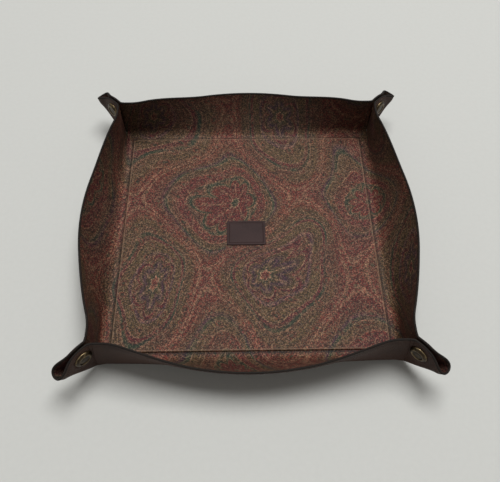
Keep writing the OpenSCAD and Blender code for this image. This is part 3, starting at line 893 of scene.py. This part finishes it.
def makeEar(k, flip):
    tag = f"{wallNames[k]}_at_{neighbour(k, flip)}"
    rimStart = earSkin(np.array(0.0), np.array(1.0)) - corner
    ruling = rimStart / np.linalg.norm(rimStart)
    across = np.array([1.0, 0, 0]) - ruling[0] * ruling
    across /= np.linalg.norm(across)
    bent = np.linspace(0, earBend + 1, ear["bendColumns"])
    straight = np.linspace(earBend + 1, ear["split"], ear["flankColumns"])
    l = np.concatenate([[0, hair], bent[1:], straight[1:-1], [ear["split"] - hair, ear["split"]]])
    lining, leather = earPiece("flank", l, k, flip,
                               corner, corner + ear["flankBlend"] * across)
    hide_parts(f"ear_{tag}_lining")
    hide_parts(f"ear_{tag}_leather")

    loopStart = earSkin(np.array(loopFrom), np.array(1.0)) - corner
    ruling = loopStart / np.linalg.norm(loopStart)
    toRidge = (earSkin(np.array(loopFrom + 0.1), np.array(1.0))
               - earSkin(np.array(loopFrom - 0.1), np.array(1.0)))
    toRidge = toRidge - toRidge.dot(ruling) * ruling
    toRidge /= np.linalg.norm(toRidge)
    curve = np.linspace(loopFrom, ridge, ear["loopColumns"])
    l = np.concatenate([[ear["split"], ear["split"] + hair], np.linspace(ear["split"], loopFrom, 6)[1:],
                        curve[1:-1], [ridge - 0.02, ridge]])
    lining, leather = earPiece("loop", l, k, flip,
                               corner, corner + ear["tipBlend"] * toRidge)
    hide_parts(f"ear_tip_{tag}_lining")
    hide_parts(f"ear_tip_{tag}_leather")


for k in range(4):
    for flip in (0, 1):
        makeEar(k, flip)
print("ears made")


snap = {
    "steps": 96,
    "seat": 2.57,  # the leather's outside, measured from the middle of the pinch
    "cap": [(0, 0.0), (1.9, 0.0), (5.9, 0.0), (6.15, 0.10), (6.25, 0.32), (6.22, 0.62), (6.02, 0.92),
            (5.62, 1.22), (5.20, 1.52), (4.80, 1.80), (4.45, 1.93), (4.10, 1.98), (3.76, 1.90), (3.50, 1.70),
            (3.36, 1.50), (3.10, 1.42), (2.60, 1.45), (1.80, 1.54), (0.90, 1.61), (0, 1.63)],
    "rivet": [(0, 0.0), (3.9, 0.0), (4.2, 0.06), (4.3, 0.22), (4.22, 0.42), (3.95, 0.58), (3.5, 0.68),
              (2.9, 0.72), (2.2, 0.70), (1.95, 0.60), (1.75, 0.42), (1.5, 0.34), (0.8, 0.31), (0, 0.30)],
}


def turnedPart(name, profile, k, flip, node):
    # turned metal part on the outside of an ear, from half sections of radius and height
    radius = np.array([p[0] for p in profile[1:-1]])
    high = np.array([p[1] for p in profile[1:-1]]) + snap["seat"]
    angle = np.linspace(0, 2 * math.pi, snap["steps"], endpoint=False)
    centre = corner + ear["snapOut"] * outDir + ear["snapUp"] * upDir
    points = (centre + (radius[None] * np.cos(angle)[:, None])[..., None] * outDir
              + (radius[None] * np.sin(angle)[:, None])[..., None] * upDir + high[None, :, None] * sideDir)
    grid = pointNumbers(points)
    nextCol = np.roll(grid, -1, 0)
    faces = np.stack([grid[:, :-1], nextCol[:, :-1], nextCol[:, 1:], grid[:, 1:]], -1).reshape(-1, 4).tolist()
    poles = [centre + (profile[end][1] + snap["seat"]) * sideDir for end in (0, -1)]
    for row, pole in ((0, grid.size), (-1, grid.size + 1)):
        faces += [[int(a), int(b), pole] for a, b in zip(grid[:, row], nextCol[:, row])]
    points = turned(np.concatenate([points.reshape(-1, 3), poles]), k, flip)
    part = finishMesh(name, points, faces, points[:, :2], brassFinish, 60)
    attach(part, f"ear_{wallNames[k]}_at_{neighbour(k, flip)}")
    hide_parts(node)


for k in range(4):
    for flip in (0, 1):
        place = cornerName(k, flip)
        if carriesCap(k, flip):
            turnedPart(f"snapCap_{place}", snap["cap"], k, flip, f"snap_cap_{place}")
            inside = f"snap_socket_{place}"
        else:
            turnedPart(f"snapRivet_{place}", snap["rivet"], k, flip, f"snap_rivet_{place}")
            inside = f"snap_stud_{place}"
        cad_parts[inside].data.materials.clear()
        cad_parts[inside].data.materials.append(brassFinish)
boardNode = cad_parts["base_board"]
boardNode.data.materials.clear()
boardNode.data.materials.append(boardFinish)
print("snaps made")


label = {
    "width": 28.8, "depth": 21.2, "height": 1.0, "radius": 1.2,
    "placeX": -1.9, "placeY": -0.7,
    "lineInset": 1.5, "lineWidth": 0.5, "lineDepth": 0.3, "lineReach": 0.42,
    "edgeRound": 0.35, "swell": 0.05, "cornerSteps": 7,
    "insets": [0, 0, 0.05, 0.14, 0.25, 0.38, 0.6, 0.9, 1.2, 1.35, 1.5, 1.6, 1.75, 1.9, 2.0, 2.15, 2.5,
               3.4, 5.0, 7.5, 10.0],  # rings of points, from the edge inward
}


def makeLabel():
    halfX, halfY = label["width"] / 2, label["depth"] / 2
    insets = np.array(label["insets"])
    pad = sheet["thickness"] + base["padHeight"]
    mid = label["lineInset"] + label["lineWidth"] / 2
    heights = np.empty_like(insets)
    for i, inset in enumerate(insets):
        toFlat = 1 - min(inset / label["edgeRound"], 1)
        rounding = label["edgeRound"] * (1 - math.sqrt(max(0, 1 - toFlat ** 2)))
        groove = label["lineDepth"] * (1 - float(ease(abs(inset - mid) / label["lineReach"])))
        swell = label["swell"] * min(1, max(0, inset - 0.5) / 3)
        heights[i] = pad + label["height"] - label["swell"] - rounding - groove + swell
    heights[0] = pad
    rings = []
    for inset, high in zip(insets, heights):
        r = max(label["radius"] - inset, 0.12)
        hx, hy = halfX - inset, halfY - inset
        outline = []
        for cx, cy, turn in ((1, 1, 0), (-1, 1, 90), (-1, -1, 180), (1, -1, 270)):
            for step in range(label["cornerSteps"]):
                a = math.radians(turn + step * 90 / (label["cornerSteps"] - 1))
                outline.append((label["placeX"] + cx * (hx - r) + r * math.cos(a),
                                label["placeY"] + cy * (hy - r) + r * math.sin(a), high))
        rings.append(outline)
    rings = np.array(rings)
    grid = pointNumbers(rings)
    nextRow = np.roll(grid, -1, 1)
    faces = np.stack([grid[:-1], nextRow[:-1], nextRow[1:], grid[1:]], -1).reshape(-1, 4).tolist()
    faces += [grid[0, ::-1].tolist(), grid[-1].tolist()]
    points = rings.reshape(-1, 3)
    piece = finishMesh("label", points, faces, points[:, :2], labelFinish, 60)
    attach(piece, "base")
    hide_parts("label")


makeLabel()
print("label made")


studio = {
    "floor": (210, 211, 207),
    "backdrop": (214, 215, 211),
    "floorSize": 6.0, "floorDrop": 0.0001, "grainScale": 300.0,
    "sky": 0.14, "skyTint": (1.0, 0.95, 0.89),
    "keyPower": 65.0, "keySize": 1.5, "keyPlace": (0.30, 0.66, 2.60),
    "fillPower": 1.2, "fillSize": 1.2, "fillPlace": (-0.3, -1.2, 1.0),
}


def makeStudio():
    half = studio["floorSize"] / 2
    mesh = bpy.data.meshes.new("floor")
    corners = [(-half, -half, 0), (half, -half, 0), (half, half, 0), (-half, half, 0)]
    mesh.from_pydata(corners, [], [(0, 1, 2, 3)])
    floor = bpy.data.objects.new("floor", mesh)
    floor.location.z = -studio["floorDrop"]
    bpy.context.scene.collection.objects.link(floor)
    material, tree, shader = newMaterial("floorPaper")
    spot = tree.nodes.new("ShaderNodeTexCoord").outputs["Object"]
    grain = noise(tree, spot, studio["grainScale"], 2.0).outputs["Fac"]
    dim, bright = [v - 1 for v in studio["floor"]], [v + 1 for v in studio["floor"]]
    plug(tree, ramp(tree, grain, [(0.3, dim), (0.7, bright)]), shader.inputs["Base Color"])
    shader.inputs["Roughness"].default_value = 0.9
    shader.inputs["Specular IOR Level"].default_value = 0.1
    mesh.materials.append(material)

    world = bpy.data.worlds.new("studio")
    bpy.context.scene.world = world
    world.use_nodes = True
    tree = world.node_tree
    tree.nodes.clear()
    output = tree.nodes.new("ShaderNodeOutputWorld")
    sky = tree.nodes.new("ShaderNodeBackground")
    sky.inputs["Color"].default_value = (*studio["skyTint"], 1)
    sky.inputs["Strength"].default_value = studio["sky"]
    seen = tree.nodes.new("ShaderNodeBackground")
    seen.inputs["Color"].default_value = toLinear(studio["backdrop"])
    seen.inputs["Strength"].default_value = 1.0
    path = tree.nodes.new("ShaderNodeLightPath")
    mix = tree.nodes.new("ShaderNodeMixShader")
    seenBy = most(tree, path.outputs["Is Camera Ray"], path.outputs["Is Glossy Ray"],
                  path.outputs["Is Transmission Ray"])
    tree.links.new(seenBy, mix.inputs[0])
    tree.links.new(sky.outputs[0], mix.inputs[1])
    tree.links.new(seen.outputs[0], mix.inputs[2])
    tree.links.new(mix.outputs[0], output.inputs["Surface"])

    for name, power, size, place in (("key", studio["keyPower"], studio["keySize"], studio["keyPlace"]),
                                     ("fill", studio["fillPower"], studio["fillSize"], studio["fillPlace"])):
        lamp = bpy.data.lights.new(name, "AREA")
        lamp.shape = "SQUARE"
        lamp.size = size
        lamp.energy = power
        holder = bpy.data.objects.new(name, lamp)
        holder.location = place
        holder.rotation_euler = (-Vector(place)).to_track_quat("-Z", "Y").to_euler()
        bpy.context.scene.collection.objects.link(holder)


view = {
    "azimuth": -1.69, "elevation": 57.61, "roll": 0.78,
    "look": (0.9, -5.6, 0.0), "distance": 438.9,
    "lens": 42.23, "sensor": 36.0,
}


def makeCamera():
    az, el, roll = (math.radians(view[key]) for key in ("azimuth", "elevation", "roll"))
    back = Vector((math.sin(az) * math.cos(el), -math.cos(az) * math.cos(el), math.sin(el)))
    right = Vector((math.cos(az), math.sin(az), 0))
    up = back.cross(right)
    rolledRight = math.cos(roll) * right + math.sin(roll) * up
    rolledUp = -math.sin(roll) * right + math.cos(roll) * up
    camera = bpy.data.cameras.new("camera")
    camera.lens = view["lens"]
    camera.sensor_width = view["sensor"]
    camera.clip_start = 0.01
    camera.clip_end = 50
    holder = bpy.data.objects.new("camera", camera)
    place = (Vector(view["look"]) + back * view["distance"]) * mm
    turn = Matrix((rolledRight, rolledUp, back)).transposed().to_4x4()
    holder.matrix_world = Matrix.Translation(place) @ turn
    bpy.context.scene.collection.objects.link(holder)
    bpy.context.scene.camera = holder


makeStudio()
makeCamera()
bpy.context.scene.view_settings.view_transform = "Standard"
print("studio and camera set")

bpy.context.view_layer.update()
